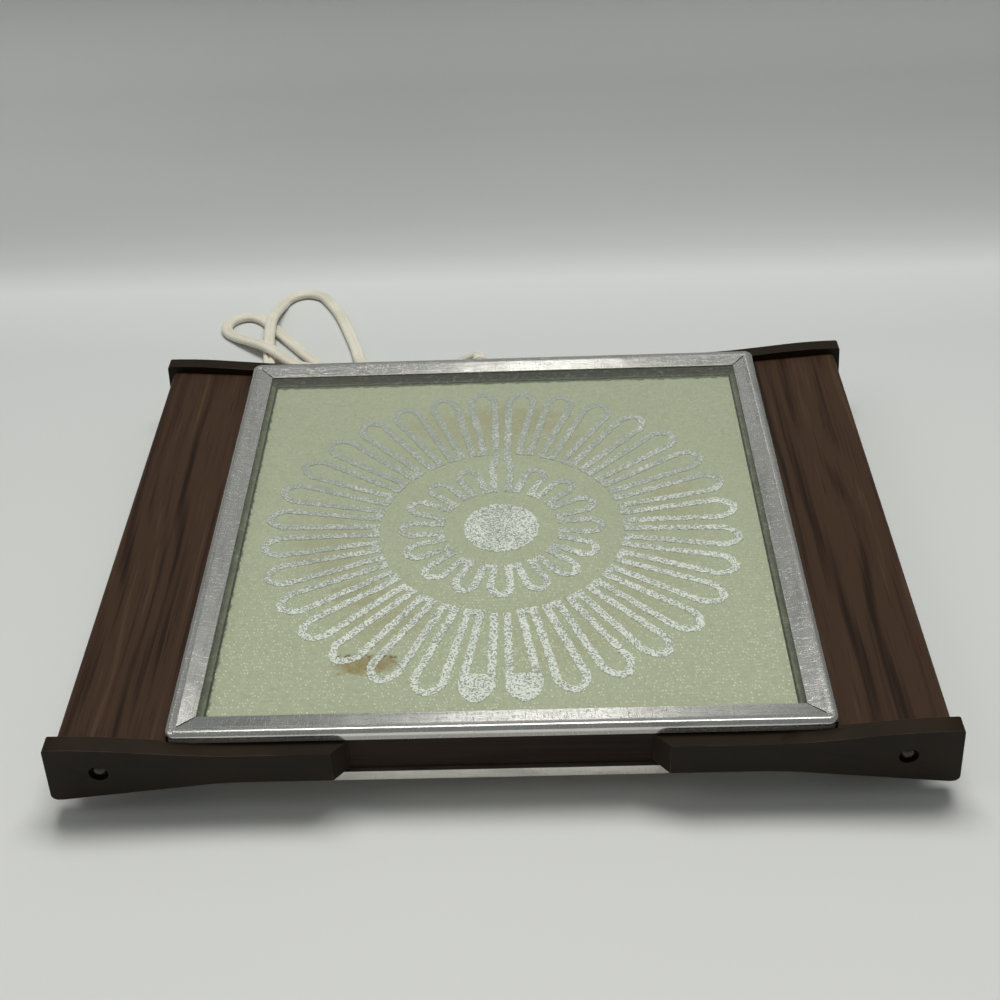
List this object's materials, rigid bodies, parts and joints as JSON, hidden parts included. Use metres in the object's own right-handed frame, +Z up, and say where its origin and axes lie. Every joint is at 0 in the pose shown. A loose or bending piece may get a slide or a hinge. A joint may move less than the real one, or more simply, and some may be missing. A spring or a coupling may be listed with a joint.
{
  "type": "electric food warmer tray",
  "caption": "Electric food warmer tray: pebbled glass over a printed heating track, a bent aluminium frame, woodgrain side wings on dark moulded brackets, rubber feet and a flat twin cord.",
  "frame": {"origin": "centre of the tray on the surface that its feet stand on", "axes": "+X to the right across the wings, +Y to the back where the cord leaves, +Z up"},
  "size_m": [0.398, 0.4496, 0.042],
  "materials": {
    "frame_aluminium": "satin, scratched",
    "pebbled_glass": "pebbled, clear",
    "silver_film": "sparkling print",
    "gasket": "matt",
    "zinc_steel": "zinc plated",
    "backing_board": "matt, cream green",
    "mineral_wool": "matt",
    "reflector_foil": "bright",
    "woodgrain_steel": "walnut woodgrain, satin",
    "pan_steel": "bright, pitted",
    "brown_moulding": "satin, worn edges",
    "dark_screw": "satin",
    "rivet_aluminium": "satin",
    "foot_rubber": "matt",
    "brass": "satin",
    "lead_sleeve": "matt",
    "cord_ivory": "satin",
    "tie_strap": "satin"
  },
  "bodies": {
    "root": {"top_frame": "frame_aluminium", "glass_plate": "pebbled_glass", "heating_track": "silver_film", "centre_disc": "silver_film", "glass_gasket": "gasket", "glass_ledge": "zinc_steel", "backing_board": "backing_board", "insulation_blanket": "mineral_wool", "reflector_sheet": "reflector_foil", "front_apron": "woodgrain_steel", "back_apron": "woodgrain_steel", "side_wall_left": "zinc_steel", "side_wall_right": "zinc_steel", "bottom_pan": "pan_steel", "wing_left": "woodgrain_steel", "wing_right": "woodgrain_steel", "bracket_front_left": "brown_moulding", "bracket_front_right": "brown_moulding", "bracket_back_left": "brown_moulding", "bracket_back_right": "brown_moulding", "bracket_screws": "dark_screw", "screw_nuts": "zinc_steel", "apron_screws": "zinc_steel", "wing_rivets": "rivet_aluminium", "foot_front_left": "foot_rubber", "foot_front_right": "foot_rubber", "foot_back_left": "foot_rubber", "foot_back_right": "foot_rubber", "foot_screws": "zinc_steel", "foot_nuts": "zinc_steel", "terminal_left": "brass", "terminal_right": "brass", "lead_left": "lead_sleeve", "lead_right": "lead_sleeve", "wire_crimps": "brass", "inner_cord": "cord_ivory", "strain_relief": "cord_ivory", "power_cord": "cord_ivory", "cord_hank": "cord_ivory", "cord_tie": "tie_strap", "plug_lead": "cord_ivory", "plug_body": "cord_ivory", "plug_blades": "brass"}
  },
  "joints": []
}
